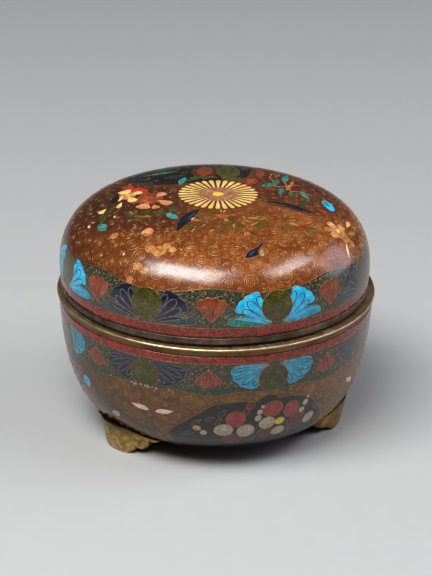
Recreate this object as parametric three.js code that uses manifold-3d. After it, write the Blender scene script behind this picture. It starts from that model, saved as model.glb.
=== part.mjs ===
// Covered cloisonne enamel box, about 100 mm across and 76 mm high, in millimetres, +Z up.
// A round enamelled copper bowl stands on three cusped brass feet. A brass mount with an upstanding
// collar closes its edge, and a domed lid with a dull brass rim rests over that collar.
// The front of the box faces -Y, and bearings run from there towards +X.
import * as THREE from "three";
import { mergeVertices } from "three/addons/utils/BufferGeometryUtils.js";
import Module from "manifold-3d";

const wasm = await Module();
wasm.setup();

// ---- Driving dimensions -------------------------------------------------------------------------
const ROUND_STEPS = 60;
const OUTER_STEPS = 13;
const INNER_STEPS = 10;
const CLEARANCE = 0.3;
const WALL = 2.0;

const bowl = { edgeRadius: 49.3, edgeZ: 42.9, floorZ: 3.4, taper: 0.04, wallPower: 6.6, depthPower: 2.31 };
const mount = {
  bottomZ: 43.2, ledgeZ: 45.4, faceRadius: 49.6, lipRadius: 50.0, lipZ: 44.3,
  collarOuter: 45.0, collarInner: 43.8, collarZ: 48.6, collarCrown: 0.4,
};
const lid = { baseZ: 45.8, topZ: 75.8, baseRadius: 48.0, flare: 0.071, wallPower: 3.72, heightPower: 2.8 };
const lidRim = { height: 2.4, thickness: 1.9, roll: 0.35 };
const lidShift = -0.5;

const foot = {
  bearings: [-51, 84, 196.5], halfWidth: 15.8, topZ: 9.7, tipZ: 6.2, thickness: 2.2,
  centreRadius: 40.4, bulge: 0.035, rise: 0.2, overWall: 0.9,
  shoulderPower: 2.6, leastHeight: 0.2, columns: 28, rows: 3,
};
const centreLobe = { flat: 4.6, halfWidth: 7.8, height: 3.0 };
const sideLobe = { centre: 9.8, halfWidth: 2.0, springZ: 3.6, drop: 1.6 };
const wing = { centre: 13.6, halfWidth: 1.9, springZ: 5.6, drop: 1.5 };

// ---- Curves -------------------------------------------------------------------------------------
const bowlDepth = bowl.edgeZ - bowl.floorZ;
const lidHeight = lid.topZ - lid.baseZ;

// Outer radius of the bowl's wall at a share of its depth: upright first, then round to a flat floor.
function bowlRadius(share) {
  const rounding = (1 - share ** bowl.depthPower) ** (1 / bowl.wallPower);
  return bowl.edgeRadius * (1 - bowl.taper * share) * rounding;
}

// Outer radius of the lid at a share of its height: it swells a little before the shoulder.
function lidRadius(share) {
  const rounding = (1 - share ** lid.heightPower) ** (1 / lid.wallPower);
  return lid.baseRadius * (1 + lid.flare * share) * rounding;
}

// Bowl radius at a height, held at the edge's radius above the wall.
function bowlRadiusAt(z) {
  const share = (bowl.edgeZ - z) / bowlDepth;
  return share <= 0 ? bowl.edgeRadius : bowlRadius(Math.min(share, 1));
}

// Samples a wall curve densely, from its edge to the axis.
function wallCurve(radiusAt, edgeZ, poleZ) {
  const samples = 600;
  const points = [];
  for (let i = 0; i <= samples; i += 1) {
    const share = 1 - (1 - i / samples) ** 3;
    points.push(new THREE.Vector2(radiusAt(share), edgeZ + (poleZ - edgeZ) * share));
  }
  return points;
}

// Thins a dense curve to a few points, closer together where it bends more.
function thinned(points, count, bendWeight = 16) {
  const reach = [0];
  for (let i = 1; i < points.length; i += 1) {
    const step = points[i].clone().sub(points[i - 1]);
    const before = i > 1 ? points[i - 1].clone().sub(points[i - 2]) : step;
    const bend = Math.abs(Math.atan2(before.cross(step), before.dot(step)));
    reach.push(reach[i - 1] + step.length() + bendWeight * bend);
  }
  const total = reach[reach.length - 1];
  const kept = [];
  let next = 0;
  for (let i = 0; i < points.length; i += 1) {
    if (reach[i] >= (total * next) / count || i === points.length - 1) {
      kept.push(points[i]);
      next = Math.floor((reach[i] / total) * count) + 1;
    }
  }
  return kept;
}

// The curve moved sideways by a distance, to the right of its own direction.
function offset(points, distance) {
  return points.map((point, i) => {
    const before = points[Math.max(i - 1, 0)];
    const after = points[Math.min(i + 1, points.length - 1)];
    const along = after.clone().sub(before).normalize();
    const moved = new THREE.Vector2(point.x + along.y * distance, point.y - along.x * distance);
    moved.x = Math.max(moved.x, 0);
    return moved;
  });
}

// Turns a closed profile, given anticlockwise in the (radius, height) plane, about the Z axis.
function turned(profile, shiftX = 0) {
  const geometry = new THREE.LatheGeometry(profile, ROUND_STEPS);
  geometry.rotateX(Math.PI / 2);
  geometry.translate(shiftX, 0, 0);
  return geometry;
}

function closed(points) {
  return [...points, points[0].clone()];
}

const at = (radius, z) => new THREE.Vector2(radius, z);

// ---- Bowl and lid walls -------------------------------------------------------------------------
const bowlOuter = thinned(wallCurve(bowlRadius, bowl.edgeZ, bowl.floorZ), OUTER_STEPS);
const bowlInner = thinned(wallCurve(bowlRadius, bowl.edgeZ, bowl.floorZ), INNER_STEPS);
bowlOuter[bowlOuter.length - 1].x = 0;

function bowlGeometry() {
  const inside = offset(bowlInner, WALL).filter((point) => point.x > 0.5);
  inside[0].y = bowl.edgeZ;
  const floor = at(0, bowl.floorZ + WALL);
  const profile = [...bowlOuter.slice().reverse(), ...inside, floor];
  return turned(profile);
}

const wallSpringZ = lid.baseZ + lidRim.height + CLEARANCE;

// The lid's outer curve above a height, from the shoulder to the crown.
function lidCurve(fromZ, count) {
  const whole = wallCurve(lidRadius, lid.baseZ, lid.topZ).filter((point) => point.y > fromZ);
  const share = (fromZ - lid.baseZ) / lidHeight;
  return thinned([at(lidRadius(share), fromZ), ...whole], count);
}

function lidGeometry() {
  const outside = lidCurve(wallSpringZ, OUTER_STEPS);
  const inside = offset(lidCurve(wallSpringZ, INNER_STEPS), -WALL).filter((point) => point.x > 0.5);
  inside[0].y = wallSpringZ;
  const crown = at(0, lid.topZ - WALL);
  const profile = [crown, ...inside.reverse(), ...outside];
  profile[profile.length - 1].x = 0;
  return turned(profile, lidShift);
}

// ---- Brass mount and lid rim --------------------------------------------------------------------
function mountGeometry() {
  const m = mount;
  return turned(closed([
    at(m.collarInner, m.bottomZ),
    at(m.faceRadius, m.bottomZ),
    at(m.faceRadius, m.lipZ),
    at(m.lipRadius, m.lipZ + 0.25),
    at(m.lipRadius, m.ledgeZ - 0.3),
    at(m.lipRadius - 0.3, m.ledgeZ),
    at(m.collarOuter, m.ledgeZ),
    at(m.collarOuter, m.collarZ - m.collarCrown),
    at((m.collarOuter + m.collarInner) / 2, m.collarZ),
    at(m.collarInner, m.collarZ - m.collarCrown),
  ]));
}

function lidRimGeometry() {
  const top = lid.baseZ + lidRim.height;
  const inner = lid.baseRadius - lidRim.thickness;
  return turned(closed([
    at(inner, lid.baseZ),
    at(lid.baseRadius - lidRim.roll, lid.baseZ),
    at(lid.baseRadius + 0.1, lid.baseZ + lidRim.roll),
    at(lid.baseRadius + 0.3, lid.baseZ + lidRim.height / 2),
    at(lidRadius(lidRim.height / lidHeight), top),
    at(inner, top),
  ]), lidShift);
}

// ---- Feet ---------------------------------------------------------------------------------------
// Height of the lower edge at a distance across the foot: a broad lobe that stands on the table,
// a notch, a small lobe and an upswept wing, the same on both sides.
function footLowerZ(across) {
  const u = Math.abs(across);
  const bow = (share) => Math.sqrt(1 - THREE.MathUtils.clamp(share, 0, 1) ** 2);
  if (u <= centreLobe.halfWidth) {
    const past = (u - centreLobe.flat) / (centreLobe.halfWidth - centreLobe.flat);
    return centreLobe.height * (1 - bow(past));
  }
  if (u <= sideLobe.centre + sideLobe.halfWidth) {
    return sideLobe.springZ - sideLobe.drop * bow(Math.abs(u - sideLobe.centre) / sideLobe.halfWidth);
  }
  return wing.springZ - wing.drop * bow(Math.abs(u - wing.centre) / wing.halfWidth);
}

function footUpperZ(across) {
  const share = Math.abs(across) / foot.halfWidth;
  return foot.topZ - (foot.topZ - foot.tipZ) * share ** foot.shoulderPower;
}

// Radius of the foot's outer face: its own bulge, or the bowl's wall where that stands further out.
function footRadius(across, z) {
  const swell = foot.centreRadius - foot.bulge * across ** 2 + foot.rise * z;
  return Math.max(swell, bowlRadiusAt(z) + foot.overWall);
}

// A closed bent plate, as a grid of columns and rows on its outer and its inner face.
function footPlate(bearing) {
  const vertices = [];
  const triangles = [];
  const index = (side, column, row) => (side * (foot.columns + 1) + column) * (foot.rows + 1) + row;
  for (const depth of [0, foot.thickness]) {
    for (let column = 0; column <= foot.columns; column += 1) {
      const across = foot.halfWidth * (2 * (column / foot.columns) - 1);
      const low = footLowerZ(across);
      const high = Math.max(footUpperZ(across), low + foot.leastHeight);
      const angle = THREE.MathUtils.degToRad(bearing) + across / foot.centreRadius;
      for (let row = 0; row <= foot.rows; row += 1) {
        const z = low + (high - low) * (row / foot.rows);
        const radius = footRadius(across, z) - depth;
        vertices.push(radius * Math.sin(angle), -radius * Math.cos(angle), z);
      }
    }
  }
  const quad = (a, b, c, d) => triangles.push(a, b, c, a, c, d);
  for (let column = 0; column < foot.columns; column += 1) {
    for (let row = 0; row < foot.rows; row += 1) {
      quad(index(0, column, row), index(0, column + 1, row),
        index(0, column + 1, row + 1), index(0, column, row + 1));
      quad(index(1, column, row), index(1, column, row + 1),
        index(1, column + 1, row + 1), index(1, column + 1, row));
    }
    quad(index(1, column, 0), index(1, column + 1, 0), index(0, column + 1, 0), index(0, column, 0));
    quad(index(0, column, foot.rows), index(0, column + 1, foot.rows),
      index(1, column + 1, foot.rows), index(1, column, foot.rows));
  }
  for (let row = 0; row < foot.rows; row += 1) {
    quad(index(1, 0, row), index(0, 0, row), index(0, 0, row + 1), index(1, 0, row + 1));
    const last = foot.columns;
    quad(index(0, last, row), index(1, last, row), index(1, last, row + 1), index(0, last, row + 1));
  }
  const geometry = new THREE.BufferGeometry();
  geometry.setAttribute("position", new THREE.Float32BufferAttribute(vertices, 3));
  geometry.setIndex(triangles);
  return geometry;
}

function solidOf(geometry) {
  const bare = geometry.clone();
  bare.deleteAttribute("normal");
  bare.deleteAttribute("uv");
  const merged = mergeVertices(bare, 1e-3);
  return new wasm.Manifold(new wasm.Mesh({
    numProp: 3,
    vertProperties: new Float32Array(merged.attributes.position.array),
    triVerts: new Uint32Array(merged.index.array),
  }));
}

function geometryOf(solid) {
  const mesh = solid.getMesh();
  const geometry = new THREE.BufferGeometry();
  geometry.setAttribute("position", new THREE.Float32BufferAttribute(mesh.vertProperties, 3));
  geometry.setIndex([...mesh.triVerts]);
  geometry.computeVertexNormals();
  return geometry;
}

// The bowl's lower half, swollen by the clearance, so that each foot's back follows the wall.
function footBacking() {
  const swollen = offset(bowlOuter, -CLEARANCE);
  swollen[0].y = bowl.edgeZ;
  swollen[swollen.length - 1].x = 0;
  return solidOf(turned([...swollen.reverse(), at(0, bowl.edgeZ)]));
}

// ---- Assembly -----------------------------------------------------------------------------------
const enamel = (color) => new THREE.MeshStandardMaterial({ color, roughness: 0.25, metalness: 0 });
const brass = (color, roughness) => new THREE.MeshStandardMaterial({ color, roughness, metalness: 1 });

const box = new THREE.Group();

function add(name, geometry, material) {
  const mesh = new THREE.Mesh(geometry, material);
  mesh.name = name;
  box.add(mesh);
}

add("bowl", bowlGeometry(), enamel(0x6b3a1c));
add("bowl_rim", mountGeometry(), brass(0xb89a5e, 0.4));
add("lid", lidGeometry(), enamel(0x8a5226));
add("lid_rim", lidRimGeometry(), brass(0x6e6048, 0.55));

const backing = footBacking();
foot.bearings.forEach((bearing, i) => {
  const plate = solidOf(footPlate(bearing));
  add(`foot_${i + 1}`, geometryOf(plate.subtract(backing)), brass(0xaa8246, 0.45));
});

export default box;
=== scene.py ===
import math
import random

import bpy
import numpy as np
from mathutils import Matrix, Vector
from mathutils.geometry import delaunay_2d_cdt


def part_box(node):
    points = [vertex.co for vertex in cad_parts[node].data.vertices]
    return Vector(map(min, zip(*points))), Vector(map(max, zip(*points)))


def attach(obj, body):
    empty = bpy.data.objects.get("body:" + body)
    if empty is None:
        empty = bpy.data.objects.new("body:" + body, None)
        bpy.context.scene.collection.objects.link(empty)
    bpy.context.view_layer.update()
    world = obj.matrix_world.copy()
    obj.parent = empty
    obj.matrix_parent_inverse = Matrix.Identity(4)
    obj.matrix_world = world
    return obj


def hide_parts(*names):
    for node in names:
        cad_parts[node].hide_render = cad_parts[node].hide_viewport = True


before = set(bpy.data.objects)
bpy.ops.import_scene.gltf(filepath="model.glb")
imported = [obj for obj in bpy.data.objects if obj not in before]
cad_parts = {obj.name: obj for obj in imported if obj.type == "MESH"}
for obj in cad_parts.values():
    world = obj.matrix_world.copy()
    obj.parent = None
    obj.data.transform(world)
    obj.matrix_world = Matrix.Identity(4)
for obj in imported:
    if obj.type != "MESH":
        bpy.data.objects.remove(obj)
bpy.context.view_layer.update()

MM = 0.001


# ---- The table, the light and the view -----------------------------------------------------------
# A plain pale sheet of paper carries the box. Two soft windows above the front of the box and one
# dim panel to its right light it, and the viewer looks down on it from the front.
table_reach = 3.0
paper_colour = (0.34, 0.335, 0.325, 1.0)
paper_shade = 0.96
sky_colour = (0.80, 0.84, 0.90, 1.0)
sky_strength = 0.07

table_mesh = bpy.data.meshes.new("table_paper")
table_mesh.from_pydata(
    [(x, y, 0.0) for x, y in ((-1, -1), (1, -1), (1, 1), (-1, 1))], [], [(0, 1, 2, 3)])
for corner in table_mesh.vertices:
    corner.co *= table_reach
table_top = bpy.data.objects.new("table_paper", table_mesh)
bpy.context.scene.collection.objects.link(table_top)

paper = bpy.data.materials.new("pale_paper")
paper.use_nodes = True
paper_shader = paper.node_tree.nodes["Principled BSDF"]
paper_shader.inputs["Roughness"].default_value = 0.9
paper_shader.inputs["Specular IOR Level"].default_value = 0.1
paper_grain = paper.node_tree.nodes.new("ShaderNodeTexNoise")
paper_grain.inputs["Scale"].default_value = 900.0
paper_tint = paper.node_tree.nodes.new("ShaderNodeValToRGB")
paper_tint.color_ramp.elements[0].color = [paper_shade * c for c in paper_colour[:3]] + [1.0]
paper_tint.color_ramp.elements[1].color = paper_colour
paper.node_tree.links.new(paper_grain.outputs["Fac"], paper_tint.inputs["Fac"])
paper.node_tree.links.new(paper_tint.outputs["Color"], paper_shader.inputs["Base Color"])
table_mesh.materials.append(paper)

studio = bpy.data.worlds.new("studio")
studio.use_nodes = True
studio.node_tree.nodes["Background"].inputs["Color"].default_value = sky_colour
studio.node_tree.nodes["Background"].inputs["Strength"].default_value = sky_strength
bpy.context.scene.world = studio
bpy.context.scene.view_settings.view_transform = "Standard"

box_middle = Vector((0.0, 0.0, 0.03))


def soft_light(name, place, width, height, watts, colour):
    """A rectangular window of light that faces the middle of the box."""
    lamp = bpy.data.lights.new(name, "AREA")
    lamp.shape = "RECTANGLE"
    lamp.size = width
    lamp.size_y = height
    lamp.energy = watts
    lamp.color = colour
    holder = bpy.data.objects.new(name, lamp)
    holder.location = place
    holder.rotation_euler = (box_middle - Vector(place)).to_track_quat("-Z", "Y").to_euler()
    bpy.context.scene.collection.objects.link(holder)


soft_light("window_left", (-0.27, -0.47, 0.91), 0.94, 0.58, 8.2, (0.96, 0.98, 1.0))
soft_light("window_left_heart", (-0.28, -0.45, 0.88), 0.70, 0.36, 12.4, (0.95, 0.98, 1.0))
soft_light("window_right", (0.70, -0.16, 0.86), 0.66, 0.28, 5.8, (0.92, 0.95, 1.0))
soft_light("side_panel", (1.20, 0.36, 0.46), 0.70, 0.80, 5.6, (0.80, 0.80, 1.0))

view_distance = 0.80
view_elevation = math.radians(23.93)
view_pitch = math.radians(22.99)
view_roll = math.radians(0.85)
view_camera = bpy.data.cameras.new("front_view")
view_camera.lens = 157.4
view_camera.sensor_width = 36.0
view_camera.clip_start = 0.05
front_view = bpy.data.objects.new("front_view", view_camera)
across = Vector((1, 0, 0))
above = Vector((0, math.sin(view_pitch), math.cos(view_pitch)))
towards = Vector((0, math.cos(view_pitch), -math.sin(view_pitch)))
camera_right = math.cos(view_roll) * across + math.sin(view_roll) * above
camera_up = camera_right.cross(towards)
front_view.rotation_euler = Matrix((camera_right, camera_up, -towards)).transposed().to_euler()
front_view.location = (0.0, -view_distance * math.cos(view_elevation),
                       box_middle.z + view_distance * math.sin(view_elevation))
bpy.context.scene.collection.objects.link(front_view)
bpy.context.scene.camera = front_view


# ---- The bowl ------------------------------------------------------------------------------------
# A round copper bowl, raised to shape and covered with cloisonne: thin brass wires stand on the
# copper, each cell between them is filled with powdered enamel, fired, and ground down flush.
# The sizes here are millimetres. The wall curve is upright at the edge and round at the floor.
bowl_low, bowl_high = (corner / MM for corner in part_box("bowl"))
bowl_edge_radius = (bowl_high.x - bowl_low.x) / 2
bowl_taper = 0.04
bowl_wall_power = 6.6
bowl_depth_power = 2.31
wall_thickness = 2.0
girth_radius = 49.0
TURN = 2 * math.pi


def rounded_wall(edge_radius, edge_z, pole_z, swell, wall_power, run_power, samples=4000):
    """A wall curve from its pole to its edge, as radii and heights."""
    share = 1 - np.linspace(0, 1, samples) ** 3
    radii = edge_radius * (1 + swell * share) * np.maximum(1 - share ** run_power, 0) ** (1 / wall_power)
    return radii, edge_z + (pole_z - edge_z) * share


class Wall:
    """A turned wall. A spot on it is given on a flat chart, where the distance from the middle is
    the reach along the wall from its pole, and the bearing runs from the front towards +X."""

    def __init__(self, radii, heights, shift=0.0):
        steps = np.hypot(np.diff(radii), np.diff(heights))
        self.reaches = np.concatenate([[0.0], np.cumsum(steps)])
        self.radii = radii
        self.heights = heights
        self.shift = shift
        self.edge = self.reaches[-1]
        side = 1.0 if heights[-1] > heights[0] else -1.0
        along_r = np.gradient(radii, self.reaches)
        along_z = np.gradient(heights, self.reaches)
        self.out_r = side * along_z
        self.out_z = -side * along_r
        self.out_r[0], self.out_z[0] = 0.0, -side

    def spots(self, chart, lift=0.0):
        """The places and outward normals, in metres, of an array of chart spots."""
        reach = np.hypot(chart[:, 0], chart[:, 1])
        bearing = np.arctan2(chart[:, 0], -chart[:, 1])
        return self.at(reach, bearing, lift)

    def at(self, reach, bearing, lift=0.0):
        """The same, from reaches and bearings."""
        out_r = np.interp(reach, self.reaches, self.out_r)
        out_z = np.interp(reach, self.reaches, self.out_z)
        size = np.hypot(out_r, out_z)
        out_r, out_z = out_r / size, out_z / size
        radius = np.interp(reach, self.reaches, self.radii) + lift * out_r
        height = np.interp(reach, self.reaches, self.heights) + lift * out_z
        across_x, across_y = np.sin(bearing), -np.cos(bearing)
        places = np.stack([radius * across_x + self.shift, radius * across_y, height], 1) * MM
        normals = np.stack([out_r * across_x, out_r * across_y, out_z], 1)
        return places, normals


def on_chart(reach, bearing):
    return np.stack([reach * np.sin(bearing), -reach * np.cos(bearing)], 1)


def ring(reach, count):
    return on_chart(reach, np.arange(count) * TURN / count)


def turned_about(outline, degrees, shift=(0.0, 0.0)):
    """An outline turned clockwise by an angle about its root, then moved."""
    swing = math.radians(degrees)
    points = np.asarray(outline, float)
    u = points[:, 0] * math.cos(swing) + points[:, 1] * math.sin(swing)
    v = -points[:, 0] * math.sin(swing) + points[:, 1] * math.cos(swing)
    return np.stack([u + shift[0], v + shift[1]], 1)


def banded(outline, bearing, drop, wall, turn=0.0, mirror=False):
    """An outline in millimetres, u round the wall and v away from its edge, put on the chart."""
    u, v = turned_about(np.asarray(outline, float) * (-1 if mirror else 1, 1), -turn).T
    return on_chart(wall.edge - drop - v, np.radians(bearing) + u / girth_radius)


def oval(width, length, count=20):
    angles = np.arange(count) * TURN / count
    return np.stack([width / 2 * np.sin(angles), length / 2 * np.cos(angles)], 1)


def two_sided(heights, half_widths, spine=0.0):
    """An outline that runs up its right side and down its left."""
    right = np.stack([spine + half_widths, heights], 1)
    left = np.stack([spine - half_widths, heights], 1)
    return np.concatenate([right, left[-2:0:-1]])


def leaf(width, length, bend=0.0, count=11):
    """A leaf pointed at both ends, from the root at the origin up v, with a sideways bend."""
    t = np.linspace(0, 1, count)
    return two_sided(length * t, width / 2 * np.sin(math.pi * t) ** 0.85, bend * np.sin(math.pi * t))


def petal(width, length, fullness=2.0, count=12):
    """A petal with a narrow root at the origin and a round end up v."""
    t = np.linspace(0, 1, count) ** 0.7
    return two_sided(length * t, width / 2 * np.sqrt(np.maximum(np.sin(math.pi * t ** fullness), 0)))


def centred(outline):
    """An outline moved so that the middle of its length and width is the origin."""
    return outline - (outline.min(0) + outline.max(0)) / 2


def smoothed(points, rounds=2):
    """A closed outline with its corners cut a few times, for a flowing line."""
    line = np.asarray(points, float)
    for _ in range(rounds):
        ahead = np.roll(line, -1, 0)
        line = np.stack([0.75 * line + 0.25 * ahead, 0.25 * line + 0.75 * ahead], 1).reshape(-1, 2)
    return line


class Picture:
    """The cells of an enamel picture, from the lowest to the topmost, and its loose wires."""

    def __init__(self, wall):
        self.wall = wall
        self.cells = []
        self.wires = []
        self.divided = None

    def cell(self, outline, enamel, wired=True):
        self.cells.append((np.asarray(outline, float), enamel, wired))

    def wire(self, line):
        self.wires.append((line, False))

    def chart_of_cells(self, step=0.2):
        """The topmost cell's number on a square grid over the whole chart."""
        half = int(self.wall.edge / step) + 8
        grid = np.zeros((2 * half + 1, 2 * half + 1), int)
        for number, (outline, _, _) in enumerate(self.cells):
            low = np.maximum(np.floor(outline.min(0) / step).astype(int), -half)
            high = np.minimum(np.ceil(outline.max(0) / step).astype(int), half)
            if (high <= low).any():
                continue
            ahead = np.roll(outline, -1, 0)
            columns = np.arange(low[0], high[0] + 1) * step
            for row in range(low[1], high[1] + 1):
                y = row * step
                cut = (outline[:, 1] > y) != (ahead[:, 1] > y)
                a, b = outline[cut], ahead[cut]
                crossings = np.sort(a[:, 0] + (y - a[:, 1]) * (b[:, 0] - a[:, 0]) / (b[:, 1] - a[:, 1]))
                within = np.searchsorted(crossings, columns) % 2 == 1
                grid[row + half, low[0] + half:high[0] + half + 1][within] = number
        return grid, half, step

    def cell_at(self, spots):
        """The number of the topmost cell at each chart spot."""
        found = np.zeros(len(spots), int)
        for number, (outline, _, _) in enumerate(self.cells):
            low, high = outline.min(0), outline.max(0)
            near = np.flatnonzero(((spots >= low) & (spots <= high)).all(1))
            if len(near):
                found[near[inside(outline, spots[near])]] = number
        return found


def inside(outline, spots):
    """Which spots lie within a closed outline."""
    ax, ay = outline[:, 0][:, None], outline[:, 1][:, None]
    bx, by = np.roll(outline[:, 0], -1)[:, None], np.roll(outline[:, 1], -1)[:, None]
    x, y = spots[:, 0][None], spots[:, 1][None]
    straddles = (ay > y) != (by > y)
    rise = np.where(by == ay, 1e-12, by - ay)
    crossings = straddles & (x < ax + (y - ay) / rise * (bx - ax))
    return crossings.sum(0) % 2 == 1


def scrolls(picture, ground, sizes, seed, pitch, tries, within, fill):
    """Fills the cells of some enamels, between two reaches, with curled wires, the large curls first."""
    dice = random.Random(seed)
    wall = picture.wall
    spots = np.array([
        (reach * math.sin(angle), -reach * math.cos(angle))
        for reach, angle in ((wall.edge * math.sqrt(dice.random()), dice.random() * TURN)
                             for _ in range(tries))])
    reach = np.hypot(spots[:, 0], spots[:, 1])
    spots = spots[(reach > within[0]) & (reach < within[1])]
    grounds = np.array([enamel in ground for _, enamel, _ in picture.cells])
    grid, half, step = picture.chart_of_cells()

    def on_ground(places):
        index = np.clip(np.round(places / step).astype(int) + half, 0, 2 * half)
        inside_edge = np.hypot(places[:, 0], places[:, 1]) < wall.edge - 0.2
        return grounds[grid[index[:, 1], index[:, 0]]] & inside_edge

    taken_places, taken_sizes = [np.array([1e3, 1e3])], [0.0]
    for size in sizes:
        shrink = local_squeeze(wall, spots)
        clear = on_ground(spots)
        for offset in ring(1.0, 10):
            clear &= on_ground(spots + offset * size * fill / shrink[:, None])
        for spot, squeeze in zip(spots[clear], shrink[clear]):
            gaps = np.hypot(*(np.array(taken_places) - spot).T) * squeeze
            if (gaps > (size + np.array(taken_sizes)) * fill).all():
                taken_places.append(spot)
                taken_sizes.append(size)
                picture.wire(curl(spot, size * dice.uniform(0.9, 1.0), squeeze, pitch, dice))


def local_squeeze(wall, spots):
    """How much shorter the girth is on the wall than on the chart."""
    reach = np.maximum(np.hypot(spots[:, 0], spots[:, 1]), 1.0)
    return np.minimum(np.interp(reach, wall.reaches, wall.radii) / reach, 1.0)


curl_body, curl_eye, curl_tail = 0.82, 0.10, 0.24


def curl(spot, size, squeeze, pitch, dice):
    """A spiral of wire with evenly spaced turns, which opens into a short tail."""
    turns = max(curl_body * size / pitch, 0.7) + 0.22
    steps = max(int(turns * 11), 9)
    hand = dice.choice((-1, 1))
    start = dice.random() * TURN
    t = np.linspace(0.0, 1.0, steps)
    angle = start + hand * turns * TURN * t
    tail = np.maximum(t - curl_body, 0) / (1 - curl_body)
    growth = curl_eye + (curl_body * size - curl_eye) * t + curl_tail * size * tail
    bearing = math.atan2(spot[0], -spot[1])
    u = growth * np.cos(angle) / squeeze
    v = growth * np.sin(angle)
    x = spot[0] + u * math.cos(bearing) - v * math.sin(bearing)
    y = spot[1] + u * math.sin(bearing) + v * math.cos(bearing)
    return np.stack([x, y], 1)


class Finish:
    """A new material, and the few nodes that every enamel and brass of the box is mixed from."""

    def __init__(self, name):
        self.material = bpy.data.materials.new(name)
        self.material.use_nodes = True
        self.nodes = self.material.node_tree.nodes
        self.links = self.material.node_tree.links
        self.shader = self.nodes["Principled BSDF"]
        self.where = self.nodes.new("ShaderNodeTexCoord").outputs["Object"]

    def clouds(self, size, detail, roughness=0.6):
        """Noise with clouds of a size in millimetres."""
        node = self.nodes.new("ShaderNodeTexNoise")
        node.inputs["Scale"].default_value = 1 / (size * MM)
        node.inputs["Detail"].default_value = detail
        node.inputs["Roughness"].default_value = roughness
        self.links.new(self.where, node.inputs["Vector"])
        return node.outputs["Fac"]

    def toned(self, value, *stops):
        """Colours that follow one another along a value."""
        node = self.nodes.new("ShaderNodeValToRGB")
        elements = node.color_ramp.elements
        elements[0].position, elements[0].color = stops[0]
        elements[1].position, elements[1].color = stops[-1]
        for place, colour in stops[1:-1]:
            elements.new(place).color = colour
        self.links.new(value, node.inputs["Fac"])
        return node.outputs["Color"]

    def stretched(self, value, start, end, low=0.0, high=1.0):
        """A value's run from start to end, made to run from low to high."""
        node = self.nodes.new("ShaderNodeMapRange")
        for socket, number in (("From Min", start), ("From Max", end), ("To Min", low), ("To Max", high)):
            node.inputs[socket].default_value = number
        self.links.new(value, node.inputs["Value"])
        return node.outputs["Result"]

    def covered(self, share, colour, cover):
        """A colour covered by another to a share."""
        node = self.nodes.new("ShaderNodeMix")
        node.data_type = "RGBA"
        self.links.new(share, node.inputs[0])
        self.links.new(colour, node.inputs[6])
        node.inputs[7].default_value = cover
        return node.outputs[2]

    def relief(self, height, strength, depth, under=None):
        """Low relief of a depth in millimetres, over the relief under it."""
        node = self.nodes.new("ShaderNodeBump")
        node.inputs["Strength"].default_value = strength
        node.inputs["Distance"].default_value = depth * MM
        self.links.new(height, node.inputs["Height"])
        if under:
            self.links.new(under, node.inputs["Normal"])
        return node.outputs["Normal"]

    def applied(self, colour, roughness, normal):
        """The material, once its colour, roughness and relief are on."""
        for value, socket in ((colour, "Base Color"), (roughness, "Roughness"), (normal, "Normal")):
            self.links.new(value, self.shader.inputs[socket])
        return self.material


def hue(code):
    """A colour in linear light from its usual six-digit code."""
    parts = [int(code[i:i + 2], 16) / 255 for i in (0, 2, 4)]
    return (*[c / 12.92 if c < 0.04045 else ((c + 0.055) / 1.055) ** 2.4 for c in parts], 1.0)


enamel_ior, enamel_gloss = 1.52, 0.17
soot = (0.02, 0.012, 0.008, 1.0)
fleck_size = 0.45
hole_spacing, hole_depth = 1.1, 0.05
wave_size, wave_depth = 1.6, 0.12
# Painted shade: the enamels darken along this direction, towards the back and the left of the box, between
# these reaches in millimetres.
painted_shade_direction, painted_shade_start, painted_shade_end, painted_shade_share = (-0.75, 0.66, 0.0), -22, 27, 0.95


def enamel(name, tones, cloud, fleck=None, fleck_share=0.12, painted_shade_tone=None):
    """Fired and ground enamel: three tones clouded together, flecks, pin holes and a low wave. The
    painted shade tone takes over towards the back and the left of the box: a painted shade, darker where less
    light falls from the front."""
    finish = Finish(name)
    deep, main, light = (hue(code) for code in tones.split())
    colour = finish.toned(finish.clouds(cloud, 6.0, 0.7), (0.30, deep), (0.50, main), (0.70, light))
    # Painted shade: the colour is darkened towards the back and the left of the box.
    if painted_shade_tone:
        away = finish.nodes.new("ShaderNodeVectorMath")
        away.operation = "DOT_PRODUCT"
        away.inputs[1].default_value = painted_shade_direction
        finish.links.new(finish.where, away.inputs[0])
        share = finish.stretched(away.outputs["Value"], painted_shade_start * MM, painted_shade_end * MM, high=painted_shade_share)
        colour = finish.covered(share, colour, hue(painted_shade_tone))
    flecks = finish.toned(finish.clouds(fleck_size, 3.0, 0.75), (0.60 - fleck_share, (0, 0, 0, 1)),
                          (0.78 - fleck_share, (1, 1, 1, 1)))
    colour = finish.covered(flecks, colour, hue(fleck) if fleck else soot)
    shine = finish.stretched(finish.clouds(5.0, 5.0), 0.3, 0.7, 0.8 * enamel_gloss, 1.5 * enamel_gloss)
    finish.shader.inputs["IOR"].default_value = enamel_ior
    holes = finish.nodes.new("ShaderNodeTexVoronoi")
    holes.inputs["Scale"].default_value = 1 / (hole_spacing * MM)
    finish.links.new(finish.where, holes.inputs["Vector"])
    pitted = finish.relief(finish.stretched(holes.outputs["Distance"], 0.05, 0.16), 0.8, hole_depth)
    wavy = finish.relief(finish.clouds(wave_size, 3.0), 0.35, wave_depth, pitted)
    return finish.applied(colour, shine, wavy)
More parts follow.
